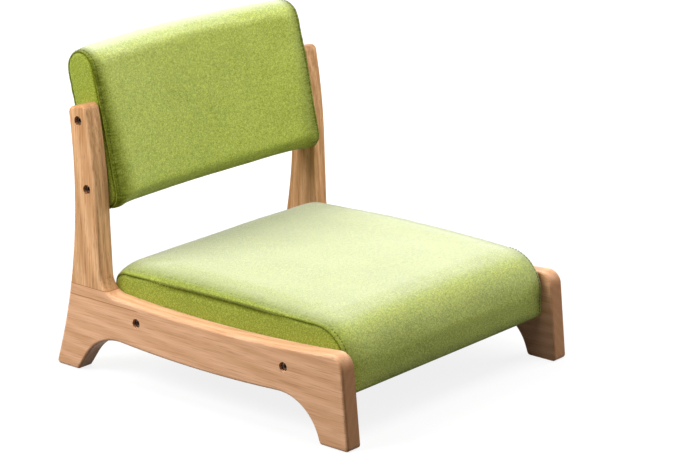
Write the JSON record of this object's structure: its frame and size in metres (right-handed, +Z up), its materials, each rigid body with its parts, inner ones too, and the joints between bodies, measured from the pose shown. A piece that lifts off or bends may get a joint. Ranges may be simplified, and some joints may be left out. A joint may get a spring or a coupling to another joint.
{
  "type": "floor chair",
  "caption": "Low legless floor chair: shaped wooden sides with arched feet carry an upholstered seat and a curved, leaning upholstered back.",
  "frame": {"origin": "on the floor, under the middle of the whole chair's box", "axes": "+X to the right seen from the front, +Y from the seat's front towards the back, +Z up"},
  "size_m": [0.45, 0.5146, 0.4242],
  "materials": {
    "panel_wood": "satin",
    "post_wood": "satin",
    "dowel_beech": "matte",
    "frame_timber": "matte",
    "plywood": "matte",
    "foam": "matte",
    "green_cloth": "matte",
    "dust_cloth": "matte",
    "bolt_steel": "satin",
    "insert_brass": "satin"
  },
  "bodies": {
    "root": {"left_side_panel": "panel_wood", "right_side_panel": "panel_wood", "left_back_post": "post_wood", "right_back_post": "post_wood", "left_post_dowels": "dowel_beech", "right_post_dowels": "dowel_beech", "seat_left_rail": "frame_timber", "seat_right_rail": "frame_timber", "seat_front_rail": "frame_timber", "seat_rear_rail": "frame_timber", "seat_centre_rail": "frame_timber", "back_left_batten": "frame_timber", "back_right_batten": "frame_timber", "seat_board": "plywood", "back_board": "plywood", "seat_foam": "foam", "back_foam": "foam", "seat_cover": "green_cloth", "back_cover": "green_cloth", "seat_dust_cover": "dust_cloth", "seat_bolts": "bolt_steel", "back_bolts": "bolt_steel", "seat_inserts": "insert_brass", "back_inserts": "insert_brass"}
  },
  "joints": []
}
